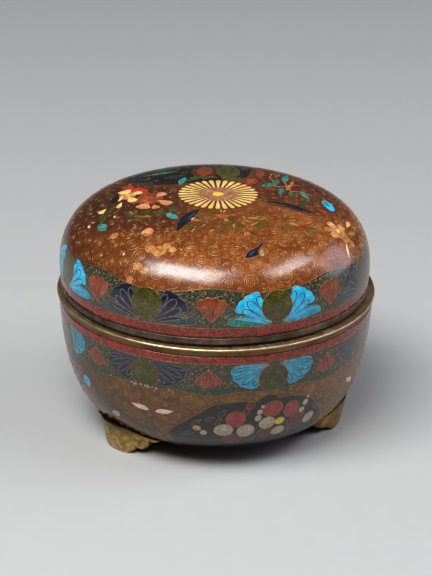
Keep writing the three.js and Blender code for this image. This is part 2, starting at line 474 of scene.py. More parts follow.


# Every enamel: its deep, main and light tones, the size of its clouds, and for some the colour and
# share of its flecks and the painted shade tone that it takes towards the back and the left of the box.
enamels = {}
for name, *recipe in (
        ("russet", "52260e 753c16 90542a", 7.0, "421c0a", 0.14, "3a180a"),
        ("umber", "3c1e08 623b0e 7e531c", 6.0, None, 0.12, "341a08"),
        ("maroon", "34120a 52200e 6a3016", 5.0, None, 0.12, "34160a"),
        ("brick", "421a0a 602b10 763e1a", 5.0, None, 0.12, "3e1c0a"),
        ("red", "581206 8a260c 9c3a16", 2.0, "2c0806", 0.17),
        ("bright_red", "7a120c a82418 bc4434", 1.6),
        ("rose", "6c1c16 8e2c24 a44036", 2.0),
        ("wine", "340c0e 521416 6a2420", 2.0),
        ("rust", "501e10 7c341c 984c2c", 1.8),
        ("ember", "7c3412 984c20 b06834", 1.8),
        ("peach", "a05a34 c48452 dca676", 2.4),
        ("honey", "7c481e a86c38 c89058", 2.2),
        ("ray_tan", "7c4630 9a6448 b07e5c", 2.0),
        ("tan", "6a5a44 8a765a a08c6c", 1.0),
        ("gold", "a06a10 d09a24 e8c050", 1.5, "7a4a10", 0.05),
        ("cream", "b08844 cca65c e6cc88", 3.0, "8a6430", 0.06),
        ("chalk", "7e6c5a 9e8c78 bcac98", 1.2, "6f6258", 0.06),
        ("pale_rose", "b08a78 cca898 dcc0b0", 1.2, "8a6458", 0.04),
        ("moss", "0e120c 262a20 464634", 0.9, "56543e", 0.07),
        ("olive", "2a2606 433e0e 58521c", 3.0, "1c1a06", 0.16),
        ("grass", "262408 403e12 585620", 1.5),
        ("leaf_green", "12260e 22401a 3a5628", 2.0),
        ("sea_green", "0e4a40 1c7464 409888", 1.3, "0c2c28", 0.16),
        ("aqua", "176a66 2a938e 5cb8b0", 1.5, "125048", 0.2),
        ("turquoise", "0a7498 129cc8 34bce0", 2.6, "0c6888", 0.05),
        ("lagoon", "0a6078 1084a4 2ca4be", 2.0, "0c5060", 0.10),
        ("lining", "1c4650 2a6470 3c7c84", 4.0),
        ("deep_teal", "08161a 10262c 1c3a40", 1.6),
        ("slate", "16202c 243640 3a545c", 1.6),
        ("dusk", "3c3a44 5c5450 7a6c58", 1.0),
        ("navy", "070912 0d1429 192344", 3.0),
        ("night", "060808 0c1012 181e1e", 5.0)):
    enamels[name] = enamel(f"{name}_enamel", *recipe)

bowl_wall = Wall(*rounded_wall(bowl_edge_radius, bowl_high.z, bowl_low.z, -bowl_taper,
                               bowl_wall_power, bowl_depth_power))
bowl_picture = Picture(bowl_wall)


bowl_sail = [(1.6, 0.4), (3.3, 2.8), (4.6, 5.6), (4.9, 8.7), (7.5, 9.0), (8.6, 8.1), (10.3, 7.8), (11.2, 6.5),
             (12.6, 5.6), (12.9, 4.1), (13.6, 2.9), (13.0, 1.6), (12.2, 0.5), (7.0, 0.3)]
bowl_loops = ((33, 8.8, 1.7), (51, 10.6, 1.9), (67, 11.4, 1.8), (81, 11.6, 1.5))
arch_steps = 24
red_specks = 230


def wing_pair(picture, bearing, drop, sail, foil, loops, body, line, far):
    """A wing on either side of a roundel: a scalloped sail of long loops that spring from the red
    line and, on the lid, a low foil that lies along it."""
    def put(outline, name, wired=True):
        picture.cell(banded(outline, bearing, drop, picture.wall, mirror=mirror), name, wired)

    for mirror in (False, True):
        if foil:
            put(smoothed(foil, 1), far[mirror])
            put(turned_about(leaf(1.1, 11.5, -0.6), 77, (2.6, 0.5)), body)
        put(smoothed(sail, 1), body)
        for lean, length, width in loops:
            swing = math.radians(lean)
            # The line round each loop is a painted reflection: dark enamel laid along the wire, for the wire
            # mirroring dark surroundings.
            put(turned_about(petal(width, length, 3.0), lean, (1.7, 0.5)), line, line == "night")
            put(turned_about(petal(width - 0.5, length - 0.6, 3.0), lean,
                             (1.7 + 0.3 * math.sin(swing), 0.5 + 0.3 * math.cos(swing))), body, False)


def flame(picture, bearing, drop, spread, length):
    """A fan of rust-red tongues that stands on the red border between two roundels."""
    for lean in (-spread, spread, -spread / 3, spread / 3):
        tongue = turned_about(petal(0.36 * length, length, 2.4), lean, (0, 1.6))
        picture.cell(banded(tongue, bearing, drop, picture.wall), "rust")
        vein = turned_about(leaf(0.5, length * 0.62), lean, (0, 2.2))
        picture.cell(banded(vein, bearing, drop, picture.wall), "wine", False)


def scalloped_band(picture, roundels, red_depth, band_depth, arch, dip, sail, foil, loops, roundel_size,
                   roundel_drop, flame_shape, ground, wing_blue):
    """The border that runs round both halves: a red line, then moss ground with roundels, wings
    and flames, which ends in low arches against the picture's own ground."""
    wall = picture.wall
    picture.cell(ring(wall.edge + 0.5, 240), "red")
    picture.cell(ring(wall.edge - red_depth, 240), "moss")
    bearings = sorted(roundels)
    following = bearings[1:] + [bearings[0] + 360]
    t = np.arange(arch_steps) / arch_steps
    depth = band_depth + arch * np.sin(math.pi * t) ** 2 - dip * np.sin(2 * math.pi * t) ** 2
    picture.cell(np.concatenate([
        on_chart(wall.edge - depth, np.radians(here + (after - here) * t))
        for here, after in zip(bearings, following)]), ground)
    # The night and dusk lines of the wings are a painted reflection, dark lines for wires that mirror dark
    # surroundings.
    even_wings = (wing_blue, "night", ("lagoon", "sea_green"))
    odd_wings = ("navy", "dusk", ("slate", "slate"))
    for i, here in enumerate(bearings):
        wing_pair(picture, here, red_depth, sail, foil, loops, *(odd_wings if i % 2 else even_wings))
        flame(picture, (here + following[i]) / 2, red_depth, *flame_shape)
        picture.cell(banded(oval(*roundel_size, 40), here, roundel_drop, wall), "olive")
        picture.cell(banded(leaf(2.2, 3.4), here, red_depth + 0.2, wall), "olive", False)
    dice = random.Random(len(loops))
    for _ in range(red_specks):
        speck = oval(dice.uniform(0.4, 0.9), dice.uniform(0.3, 0.5), 7)
        picture.cell(banded(speck, dice.uniform(0, 360), red_depth * dice.uniform(0.12, 0.88), wall,
                            turn=dice.uniform(-60, 60)), dice.choice(("wine", "night", "bright_red")), False)


bowl_roundels = (-70.2, -25.7, 21.4, 66.6, 111, 156, 200, 245)
scalloped_band(bowl_picture, bowl_roundels, red_depth=2.7, band_depth=13.0, arch=0.7, dip=1.0,
               sail=bowl_sail, foil=None, loops=bowl_loops, roundel_size=(9.8, 9.0), roundel_drop=8.3,
               flame_shape=(33, 6.6), ground="umber", wing_blue="lagoon")

# The lower wall's own picture: a dark panel of blossoms to the front right, a wine panel to the
# left, pale leaves on the brown ground between them, and a second dark panel behind.
panel_crest = [(-17.0, 31.0), (-14.5, 28.0), (-11.6, 25.4), (-8.5, 23.0), (-5.0, 20.5), (-2.4, 18.3),
               (0.4, 16.9), (5.0, 16.1), (10.0, 16.0), (14.0, 16.3), (15.4, 14.7), (17.5, 14.1),
               (19.6, 14.8), (21.0, 16.2), (25.0, 16.0), (30.0, 17.3), (34.0, 19.7), (37.6, 23.0),
               (40.4, 27.0), (42.0, 31.0)]
panel_foot = [(42.0, 38.0), (30.0, 44.0), (10.0, 46.0), (-10.0, 43.0), (-18.0, 36.0)]


def panel_cell(picture, bearing, mirror, outline, name, across=0.0, drop=0.0, turn=0.0):
    """A cell across and below a bearing, with left and right swapped in a mirrored panel."""
    here = bearing + (-1 if mirror else 1) * math.degrees(across / girth_radius)
    picture.cell(banded(outline, here, drop, picture.wall, turn, mirror), name)


def blossom_panel(picture, bearing, mirror=False):
    """A dark panel with a lobed upper edge, reaching down to the floor, with heaped blossoms."""
    panel_cell(picture, bearing, mirror, panel_crest + panel_foot, "night")
    for across, drop, width, height, name in (
            (6.5, 32.2, 6.4, 4.6, "wine"), (18.0, 30.2, 4.8, 4.4, "wine"), (29.3, 27.4, 7.0, 6.4, "wine"),
            (11.5, 17.6, 2.9, 2.6, "wine"), (10.4, 20.0, 1.9, 2.4, "wine"), (26.2, 21.5, 5.4, 5.8, "rose"),
            (19.2, 20.0, 6.4, 5.6, "rose"), (7.0, 22.8, 6.0, 5.8, "rose"), (3.2, 27.4, 6.2, 4.9, "chalk"),
            (10.8, 28.2, 5.8, 5.4, "chalk"), (18.0, 25.6, 5.4, 4.7, "chalk"), (23.0, 30.2, 4.8, 4.0, "chalk"),
            (34.8, 27.6, 4.0, 4.6, "chalk"), (-3.6, 28.6, 2.3, 2.2, "chalk"), (22.6, 25.6, 3.4, 2.8, "gold"),
            (14.5, 23.0, 2.1, 2.3, "chalk"), (14.8, 20.6, 1.7, 1.9, "chalk"), (15.6, 18.6, 1.1, 1.3, "chalk"),
            (31.2, 20.2, 1.9, 2.1, "chalk"), (30.4, 22.9, 2.1, 2.0, "chalk"), (32.0, 18.3, 1.0, 1.2, "chalk"),
            (-5.8, 26.6, 2.6, 2.2, "peach")):
        blossom = oval(1.07 * width, 1.09 * height, 22)
        panel_cell(picture, bearing, mirror, blossom, name, across, drop)
    for across, drop, width, length, turn in (
            (2.6, 20.4, 1.6, 4.0, 40), (-1.6, 22.6, 1.4, 3.6, 65), (36.5, 23.4, 1.4, 3.6, -50),
            (13.4, 32.8, 1.8, 3.0, 20), (27.0, 32.5, 2.2, 3.6, -60), (-9.0, 29.5, 1.5, 4.2, 75),
            (-6.0, 24.2, 1.2, 4.4, 55), (1.4, 23.6, 1.2, 4.0, 35)):
        panel_cell(picture, bearing, mirror, centred(leaf(width, length)), "deep_teal", across, drop, turn)


blossom_panel(bowl_picture, 0.0)
blossom_panel(bowl_picture, 172.0, mirror=True)


def wine_panel(picture, bearing, mirror=False):
    """A wine-brown field with a long curved border, a turquoise leaf and a pale one."""
    panel_cell(picture, bearing, mirror, [
        (-3, 13.4), (-1.5, 16), (1, 19.5), (5, 22), (9.5, 24), (13.5, 26.5), (18, 29), (23, 30.5),
        (28, 31.5), (30, 40), (4, 44), (-36, 42), (-38, 24), (-26, 15), (-14, 13.3)], "maroon")
    for across, drop, width, length, name, turn in (
            (-5.5, 20.2, 4.2, 5.2, "turquoise", 62), (-8.4, 17.0, 2.4, 4.0, "red", 70),
            (-2.4, 23.4, 2.4, 4.4, "red", 30), (7.0, 28.2, 2.7, 4.8, "chalk", 66),
            (-14.0, 22.0, 2.6, 5.0, "sea_green", -40)):
        panel_cell(picture, bearing, mirror, centred(leaf(width, length, 0.4)), name, across, drop, turn)


wine_panel(bowl_picture, -51.5)
wine_panel(bowl_picture, 108.0, mirror=True)
drifting_leaf = smoothed([(-3.3, -1.1), (-1.4, -1.0), (1.2, -0.9), (3.0, 0.2), (3.2, 1.3), (1.0, 1.1),
                          (-1.0, 0.7), (-2.2, -0.1)])
for across_mm, drop, turn, mirror in (
        (-25.0, 21.1, -7, False), (-16.2, 21.2, 5, True), (54.0, 20.0, 12, False),
        (-130.0, 21.0, 4, True), (-118.0, 20.0, -6, False), (66.0, 23.0, 8, True)):
    here = math.degrees(across_mm / girth_radius)
    bowl_picture.cell(banded(drifting_leaf, here, drop, bowl_wall, turn, mirror), "pale_rose")

# Some of the wire is lost under the front left roundel, where the ground is chipped to white.
chip_count, chip_bearing, chip_drop = 24, -25.7, 12.9
dice = random.Random(21)
for _ in range(chip_count):
    chip = oval(dice.uniform(0.3, 1.0), dice.uniform(0.2, 0.5), 7)
    bowl_picture.cell(banded(chip, chip_bearing + dice.gauss(0, 5), chip_drop + dice.uniform(-0.6, 0.7),
                             bowl_wall, dice.uniform(0, 90)), "chalk", False)

for ground, sizes, seed, pitch, tries, within, fill in (
        ("umber", (1.7, 1.2, 0.8, 0.55), 5, 0.62, 14000, (34, 76), 0.92),
        ("moss", (0.72, 0.5), 6, 0.8, 14000, (66, 84), 0.85),
        ("maroon", (1.4, 0.9), 7, 0.66, 4000, (40, 74), 0.92)):
    scrolls(bowl_picture, (ground,), sizes, seed, pitch, tries, within, fill)

girth_steps = 192
ring_spacing = 1.25
ring_step = 1.6
inner_rows = 34


def shaped(name, vertices, faces, materials):
    """A smooth mesh as an object of its own, with its materials."""
    mesh = bpy.data.meshes.new(name)
    mesh.from_pydata(vertices, [], faces)
    mesh.polygons.foreach_set("use_smooth", [True] * len(faces))
    for material in materials:
        mesh.materials.append(material)
    piece = bpy.data.objects.new(name, mesh)
    bpy.context.scene.collection.objects.link(piece)
    return piece


def enamel_shell(name, picture, inner_name):
    """The enamelled wall as one closed mesh. Its outer face is divided along the cells' outlines, and
    the picture keeps that divided face for its wires."""
    wall = picture.wall
    upward = wall.heights[0] > wall.heights[-1]
    coords, edges = [], []

    def lay(points):
        first = len(coords)
        coords.extend(Vector((float(x), float(y))) for x, y in points)
        edges.extend((first + i, first + (i + 1) % len(points)) for i in range(len(points)))

    lay(ring(wall.edge, girth_steps))
    for reach in np.arange(ring_spacing, wall.edge - 0.4, ring_spacing):
        lay(ring(reach, max(int(TURN * min(reach, girth_radius) / ring_step), 8)))
    for outline, _, _ in picture.cells:
        if np.hypot(outline[:, 0], outline[:, 1]).max() < wall.edge - 0.05:
            lay(outline)
    flat, _, faces, _, _, _ = delaunay_2d_cdt(coords, edges, [], 0, 1e-4)
    chart = np.array([(p.x, p.y) for p in flat])
    faces = np.array(faces)
    cells = picture.cell_at(chart[faces].mean(1))
    if not upward:
        faces = faces[:, ::-1]
    places, normals = wall.spots(chart)

    # The inner face follows the outer one, ring by ring, from the edge to its own pole.
    reach = np.hypot(chart[:, 0], chart[:, 1])
    rim = np.flatnonzero(np.abs(reach - wall.edge) < 1e-3)
    rim = rim[np.argsort(np.arctan2(chart[rim, 0], -chart[rim, 1]))]
    bearings = np.arctan2(chart[rim, 0], -chart[rim, 1])
    vertices, vertex_normals = [places], [normals]
    for inner_reach in (wall.edge, *np.linspace(wall.edge - 1.5, 3.0, inner_rows)):
        spots, outward = wall.at(np.full(len(rim), inner_reach), bearings, -wall_thickness)
        if inner_reach == wall.edge:
            spots[:, 2] = places[rim, 2]
        vertices.append(spots)
        vertex_normals.append(-outward)
    pole, pole_normal = wall.at(np.array([0.0]), np.array([0.0]), -wall_thickness)
    vertices = np.concatenate([*vertices, pole])
    vertex_normals = np.concatenate([*vertex_normals, -pole_normal])
    first, count = len(places), len(rim)
    inner_faces = []
    for i in range(count):
        j = (i + 1) % count
        inner_faces.append((rim[i], first + i, first + j, rim[j]))
        for row in range(inner_rows):
            a, b = first + row * count, first + (row + 1) * count
            inner_faces.append((a + i, b + i, b + j, a + j))
        inner_faces.append((b + i, len(vertices) - 1, b + j))
    if upward:
        inner_faces = [face[::-1] for face in inner_faces]

    names = [picture.cells[number][1] for number in cells]
    used = [*dict.fromkeys(names), inner_name]
    shell = shaped(name, vertices.tolist(), [*map(tuple, faces.tolist()), *inner_faces],
                   [enamels[used_name] for used_name in used])
    slots = [used.index(cell_name) for cell_name in names] + [len(used) - 1] * len(inner_faces)
    shell.data.polygons.foreach_set("material_index", slots)
    flat_edge = (0.0, 0.0, -1.0 if upward else 1.0)
    corner_normals = []
    for polygon in shell.data.polygons:
        row = polygon.index - len(faces)
        on_edge = row >= 0 and row % (inner_rows + 2) == 0
        corner_normals += [flat_edge if on_edge else tuple(vertex_normals[v]) for v in polygon.vertices]
    shell.data.normals_split_custom_set(corner_normals)
    picture.divided = (chart, faces, cells)
    return shell


def cell_wires(picture):
    """Chains of mesh edges that part two cells, the upper of them wired."""
    _, faces, cells = picture.divided
    owners = {}
    for face, cell in zip(faces.tolist(), cells.tolist()):
        for a, b in zip(face, face[1:] + face[:1]):
            owners.setdefault((min(a, b), max(a, b)), []).append(cell)
    neighbours = {}
    for (a, b), pair in owners.items():
        if len(pair) == 2 and pair[0] != pair[1] and picture.cells[max(pair)][2]:
            neighbours.setdefault(a, []).append(b)
            neighbours.setdefault(b, []).append(a)
    chains = []
    seen = set()

    def walk(start, following):
        chain = [start, following]
        seen.update(((start, following), (following, start)))
        while len(neighbours[chain[-1]]) == 2 and chain[-1] != start:
            before, here = chain[-2:]
            a, b = neighbours[here]
            ahead = b if a == before else a
            if (here, ahead) in seen:
                break
            seen.update(((here, ahead), (ahead, here)))
            chain.append(ahead)
        chains.append(chain)

    forks = [v for v, near in neighbours.items() if len(near) != 2]
    for start in forks + list(neighbours):
        for following in neighbours[start]:
            if (start, following) not in seen:
                walk(start, following)
    return chains


def picture_wires(name, picture):
    """Brass wires as closed three-sided ribbons that stand a little out of the enamel."""
    lines = []
    for chain in cell_wires(picture):
        looped = chain[0] == chain[-1]
        line = picture.divided[0][chain[:-1] if looped else chain]
        if len(line) > (2 if looped else 1):
            lines.append((line, looped))
    vertices, ribbon_faces = [], []
    total = 0
    for line, looped in lines + picture.wires:
        places, normals = picture.wall.spots(line)
        if looped:
            along = np.roll(places, -1, 0) - np.roll(places, 1, 0)
        else:
            along = np.gradient(places, axis=0)
        left = np.cross(normals, along)
        left /= np.maximum(np.linalg.norm(left, axis=1, keepdims=True), 1e-12)
        flank, foot = left * wire_width / 2 * MM, normals * wire_sink * MM
        section = np.stack([places + flank - foot, places + normals * wire_lift * MM,
                            places - flank - foot], 1).reshape(-1, 3)
        vertices.append(section)
        count = len(line)
        for i in range(count if looped else count - 1):
            a, b = total + 3 * i, total + 3 * ((i + 1) % count)
            ribbon_faces += [(a, a + 1, b + 1, b), (a + 1, a + 2, b + 2, b + 1), (a + 2, a, b, b + 2)]
        if not looped:
            end = total + 3 * (count - 1)
            ribbon_faces += [(total, total + 2, total + 1), (end, end + 1, end + 2)]
        total += 3 * count
    return shaped(name, np.concatenate(vertices).tolist(), ribbon_faces, [wire_brass])


def metal(name, tones, cloud, roughness, wear=0.5, patina_and_shade=None, patina_and_shade_from=None, scratch=0.25):
    """Worn brass: rubbed and tarnished tones clouded together, with fine scratches. A darker tone takes
    over, unevenly, from the first height in millimetres to the second: patina on the feet, and partly painted
    shade on the mount and the lid's band."""
    finish = Finish(name)
    finish.shader.inputs["Metallic"].default_value = 1.0
    deep, main, bright = (hue(code) for code in tones.split())
    colour = finish.toned(finish.clouds(cloud, 7.0, 0.65), (0.28, deep), (wear, main), (0.75, bright))
    if patina_and_shade:
        height = finish.nodes.new("ShaderNodeSeparateXYZ")
        finish.links.new(finish.where, height.inputs[0])
        ragged = finish.nodes.new("ShaderNodeMath")
        ragged.operation = "MULTIPLY"
        start, end = patina_and_shade_from
        finish.links.new(finish.stretched(height.outputs["Z"], start * MM, end * MM), ragged.inputs[0])
        finish.links.new(finish.stretched(finish.clouds(9.0, 5.0), 0.25, 0.55, 0.55), ragged.inputs[1])
        colour = finish.covered(ragged.outputs[0], colour, hue(patina_and_shade))
    shine = finish.stretched(finish.clouds(1.3, 4.0), 0.3, 0.7, 0.75 * roughness, 1.35 * roughness)
    return finish.applied(colour, shine, finish.relief(finish.clouds(0.9, 6.0, 0.7), scratch, 0.1))


bowl = enamel_shell("bowl_enamel", bowl_picture, "lining")
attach(bowl, "root")
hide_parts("bowl")

# The bowl's wires: flat brass ribbon on edge, ground flush with the enamel and dulled by handling.
wire_width = 0.17
wire_lift = 0.035
wire_sink = 0.05
wire_brass = metal("wire_brass", "805c30 b68a50 dcb478", cloud=2.0, roughness=0.42)
bowl_wires = picture_wires("bowl_wires", bowl_picture)
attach(bowl_wires, "root")


# ---- The brass mount on the bowl's edge ----------------------------------------------------------
# A turned brass ring soldered over the bowl's edge: a rounded lip outside, a flat ledge that the lid
# sits down to, and a thin collar inside that keeps the lid in place. The top of its lip stays bright, partly
# from rubbing and partly as a painted highlight, and the face below is darkened, partly patina and partly
# painted shade.
mount_low, mount_high = (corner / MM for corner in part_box("bowl_rim"))
lip_radius = (mount_high.x - mount_low.x) / 2
mount_face_radius = lip_radius - 0.4
ledge_z = mount_low.z + 2.2
collar_outer, collar_inner = 45.0, 43.8
collar_fillet, collar_round = 0.2, (collar_outer - collar_inner) / 2
lip_round, skirt_round = 0.5, 0.25
ring_wobble = 0.03


def arc(centre, radius, start, end, count):
    """Points of an arc in the (radius, height) plane, angles in degrees from outward."""
    angles = np.radians(np.linspace(start, end, count))
    return [(centre[0] + radius * math.cos(a), centre[1] + radius * math.sin(a)) for a in angles]


def turned_ring(name, profile, shift, material):
    """A closed profile turned about the box's axis, a touch uneven as handwork is."""
    count = len(profile)
    vertices, faces = [], []
    for i in range(girth_steps):
        bearing = TURN * i / girth_steps
        sway = ring_wobble * (math.sin(3 * bearing + 0.7) + 0.6 * math.sin(7 * bearing + 2.1))
        lift = ring_wobble * 0.5 * math.sin(5 * bearing + 1.3)
        j = (i + 1) % girth_steps
        for k, (radius, z) in enumerate(profile):
            vertices.append(((radius + sway) * math.sin(bearing) * MM + shift * MM,
                             -(radius + sway) * math.cos(bearing) * MM, (z + lift) * MM))
            m = (k + 1) % count
            faces.append((i * count + k, j * count + k, j * count + m, i * count + m))
    piece = shaped(name, vertices, faces, [material])
    piece.data.set_sharp_from_angle(angle=math.radians(38))
    return piece


# The darkening below the lip is partly patina and partly painted shade, so that only the top of the lip stays
# bright as a painted highlight.
mount_brass = metal("mount_brass", "866a48 b89a72 e0caa4", cloud=9.0, roughness=0.42, wear=0.48,
                    patina_and_shade="5a4028", patina_and_shade_from=(45.2, 44.6), scratch=0.15)
mount_profile = (
    [(collar_inner, mount_low.z - 0.2), (mount_face_radius - 0.2, mount_low.z - 0.2)]
    + arc((mount_face_radius - skirt_round, mount_low.z + 0.15), skirt_round, -80, 0, 4)
    + arc((lip_radius - lip_round, ledge_z - 0.55), lip_round, -40, 90, 9)
    + [(collar_outer + collar_fillet, ledge_z), (collar_outer, ledge_z + collar_fillet)]
    + arc((collar_outer - collar_round, mount_high.z - collar_round), collar_round, 0, 180, 9)
)
mount = turned_ring("bowl_mount", mount_profile, 0.0, mount_brass)
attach(mount, "root")
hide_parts("bowl_rim")


# ---- The lid -------------------------------------------------------------------------------------
# A domed copper lid enamelled like the bowl, a little flared below its shoulder. A flower medallion
# marks its crown, and panels, leaves and blossoms lie round it on russet ground full of wire scrolls.
rim_low, rim_high = (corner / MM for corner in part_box("lid_rim"))
lid_low, lid_high = (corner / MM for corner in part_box("lid"))
lid_shift = (lid_high.x + lid_low.x) / 2
lid_base_radius = 48.0
lid_flare = 0.071
lid_wall_power = 3.72
lid_height_power = 2.8
lid_radii, lid_heights = rounded_wall(lid_base_radius, rim_low.z, lid_high.z, lid_flare,
                                      lid_wall_power, lid_height_power)
kept = lid_heights >= lid_low.z
lid_wall = Wall(lid_radii[kept], lid_heights[kept], lid_shift)
lid_picture = Picture(lid_wall)

lid_roundels = (-69.0, -24.6, 23.0, 70.0, 114, 158, 202, 246)
lid_sail = [(1.5, 0.4), (3.4, 2.4), (4.9, 6.0), (5.3, 10.8), (7.3, 11.0), (8.4, 10.3), (9.8, 10.0),
            (10.7, 8.9), (12.2, 8.2), (12.7, 6.9), (13.4, 5.8), (12.9, 4.8), (9.0, 4.5), (6.0, 3.4),
            (3.0, 1.2)]
lid_foil = [(1.5, 0.3), (3.0, 1.0), (5.5, 2.7), (10.0, 4.1), (14.0, 3.7), (15.8, 2.4), (15.5, 1.0),
            (11.0, 0.4), (6.0, 0.25)]
lid_loops = ((27, 10.4, 2.3), (45, 11.2, 2.6), (61, 11.0, 2.1))
scalloped_band(lid_picture, lid_roundels, red_depth=3.2, band_depth=13.7, arch=1.8, dip=0.4,
               sail=lid_sail, foil=lid_foil, loops=lid_loops, roundel_size=(10.2, 9.8), roundel_drop=9.1,
               flame_shape=(28, 8.3), ground="russet", wing_blue="turquoise")


def crown(outline, name, turn=0.0, place=(0.0, 0.0), wired=True):
    """A cell on the crown, turned clockwise and moved to a place beside the pole."""
    lid_picture.cell(turned_about(outline, turn, place), name, wired)


# Three panels meet round the medallion: wine brown to the left, night blue behind, and wine brown
# to the right, each with its own leaves and blossoms. Rows give a mark's middle as x, y from the
# pole, its width and length, its turn clockwise in degrees, and its enamel.
left_panel = [(-5, -12), (-8.5, -20), (-11.6, -28), (-16, -28.4), (-22, -26.5), (-28, -24), (-34, -22.5),
              (-39, -19), (-41.5, -11), (-42, -2), (-39, 6), (-33, 12), (-26, 12.5), (-20, 8.4), (-13, 7)]
back_panel = [(-6, 11), (-12, 8.4), (-17, 7.8), (-22, 9.2), (-26.5, 12.5), (-28.5, 17), (-28.5, 24),
              (-25, 31), (-16, 36), (-6, 38.5), (4, 38.5), (11, 35), (12, 28), (11, 20), (9, 14)]
right_panel = [(7, 10), (11.5, 15), (12, 21), (13, 29), (17, 34), (26, 32), (36, 22), (42, 10),
               (43.5, -1), (40, -8), (33, -11.5), (27, -12), (20, -9.4), (14.5, -5.6), (11, -3)]
panel_inset = 0.86
for outline in (left_panel, right_panel):
    lid_picture.cell(smoothed(outline), "brick", False)
    middle = np.mean(outline, 0)
    lid_picture.cell(smoothed(middle + panel_inset * (np.array(outline) - middle)), "maroon", False)
lid_picture.cell(smoothed(back_panel), "night")


def crown_leaves(kind, rows):
    """Leaves or petals laid on the crown by their middles, sizes and bearings."""
    for x, y, width, length, turn, name in rows:
        crown(centred(kind(width, length)), name, turn, (x, y))


def drop_petal(width, length):
    return petal(width, length, 2.4)


# The left panel: a peach blossom and a cream one, with red petals, leaves and buds about them.
for x, y, width, height, turn, name in (
        (-24.6, 4.6, 6.0, 5.0, 20, "bright_red"), (-20.4, -3.6, 8.6, 9.0, 0, "rust"),
        (-21.2, -4.4, 4.4, 4.6, 0, "ember"), (-27.6, 0.6, 5.6, 6.6, 0, "honey")):
    crown(oval(width, height, 22), name, turn, (x, y), wired=False)
crown_leaves(drop_petal, (
    (-21.2, -0.6, 3.4, 4.6, -40, "rust"), (-24.2, -4.8, 3.2, 4.6, -95, "rust"),
    (-17.2, -0.6, 3.2, 5.0, 28, "peach"), (-16.0, -6.6, 3.7, 6.0, 130, "peach"),
    (-21.8, -8.8, 4.8, 5.0, 205, "peach"), (-18.6, -10.0, 2.6, 3.4, 165, "peach"),
    (-22.4, 2.0, 3.2, 4.8, -5, "bright_red"), (-27.4, 7.2, 3.8, 5.0, -10, "bright_red"),
    (-28.2, 3.6, 4.4, 5.0, -20, "cream"), (-25.0, 1.6, 2.8, 4.8, 50, "cream"),
    (-26.2, -2.6, 3.2, 5.4, 160, "cream"), (-29.8, -0.6, 2.8, 5.2, 215, "cream"),
    (-29.6, -6.2, 1.8, 4.6, 195, "cream"), (-35.0, -8.0, 2.8, 3.2, 230, "cream")))
crown(oval(3.4, 4.2), "honey", 15, (-20.4, -26.4))
crown(oval(2.2, 3.0), "peach", 15, (-20.2, -26.0), wired=False)
# The small chalk spot on the bud's left side is a painted highlight.
crown(oval(0.9, 1.6, 10), "chalk", 15, (-22.0, -26.6), wired=False)
crown(oval(2.6, 2.4, 12), "rust", 0, (-19.8, -4.4))
crown(oval(2.0, 1.8, 12), "gold", 0, (-27.3, 0.9))
crown_leaves(leaf, (
    (-31.4, -1.0, 2.8, 8.6, 8, "night"), (-33.2, 2.8, 2.6, 5.6, -12, "olive"),
    (-32.4, -9.0, 1.6, 5.0, 30, "olive"), (-13.2, -17.7, 2.7, 6.0, -40, "aqua"),
    (-13.0, -12.2, 2.8, 4.2, 20, "leaf_green"), (-17.0, -15.0, 2.6, 4.6, -70, "leaf_green"),
    (-35.0, -18.0, 3.2, 5.0, -30, "sea_green"), (-34.6, -17.6, 1.4, 2.6, -30, "aqua"),
    (-35.0, -12.8, 2.6, 5.0, 10, "leaf_green"), (-39.6, -14.3, 1.0, 2.0, -15, "pale_rose"),
    (-31.0, -14.0, 0.8, 1.5, 0, "pale_rose"), (-24.5, -15.5, 1.3, 6.0, -60, "olive"),
    (-24.0, -18.0, 1.2, 6.0, -95, "olive"), (-27.0, -13.5, 1.2, 5.0, -20, "leaf_green")))

# A long blue leaf crosses the front edge of that panel, with its tip chipped white.
crown(leaf(3.5, 17.6, 0.5), "night", 202.6, (-4.9, -11.8))
crown(leaf(1.9, 13.6, 0.4), "navy", 202.6, (-5.6, -13.4), wired=False)
crown(leaf(0.8, 6.0, 0.2), "slate", 202.6, (-6.0, -15.2), wired=False)
crown(leaf(0.9, 2.4), "chalk", 205, (-6.3, -18.8))

# The dark panel behind: a turquoise leaf, mottled sea green, rust and olive patches.
crown_leaves(leaf, (
    (-3.4, 22.0, 9.0, 17.0, 2, "maroon"), (3.8, 22.0, 7.6, 19.0, -2, "grass"),
    (13.2, 24.0, 5.2, 18.0, 6, "brick")))
crown_leaves(leaf, (
    (-10.6, 12.0, 2.3, 7.0, 14, "aqua"), (-17.6, 20.8, 2.2, 11.5, 72, "sea_green"),
    (-23.6, 13.4, 3.4, 9.6, -50, "navy"), (-23.5, 21.0, 1.6, 9.0, 10, "deep_teal"),
    (-16.0, 26.0, 2.0, 11.0, 60, "leaf_green"), (-13.0, 16.4, 1.6, 7.0, 70, "deep_teal"),
    (-3.6, 22.4, 5.4, 12.0, 4, "rust"), (2.4, 22.0, 2.2, 12.6, -6, "olive"),
    (5.0, 24.0, 1.6, 11.0, 8, "leaf_green"), (9.4, 21.4, 2.8, 15.0, 14, "night"),
    (7.6, 17.4, 1.0, 7.0, 24, "navy"), (-6.8, 14.6, 2.6, 6.4, 40, "leaf_green"),
    (-2.4, 15.6, 1.6, 6.0, 90, "olive"), (4.5, 14.4, 1.8, 6.4, 100, "leaf_green")))

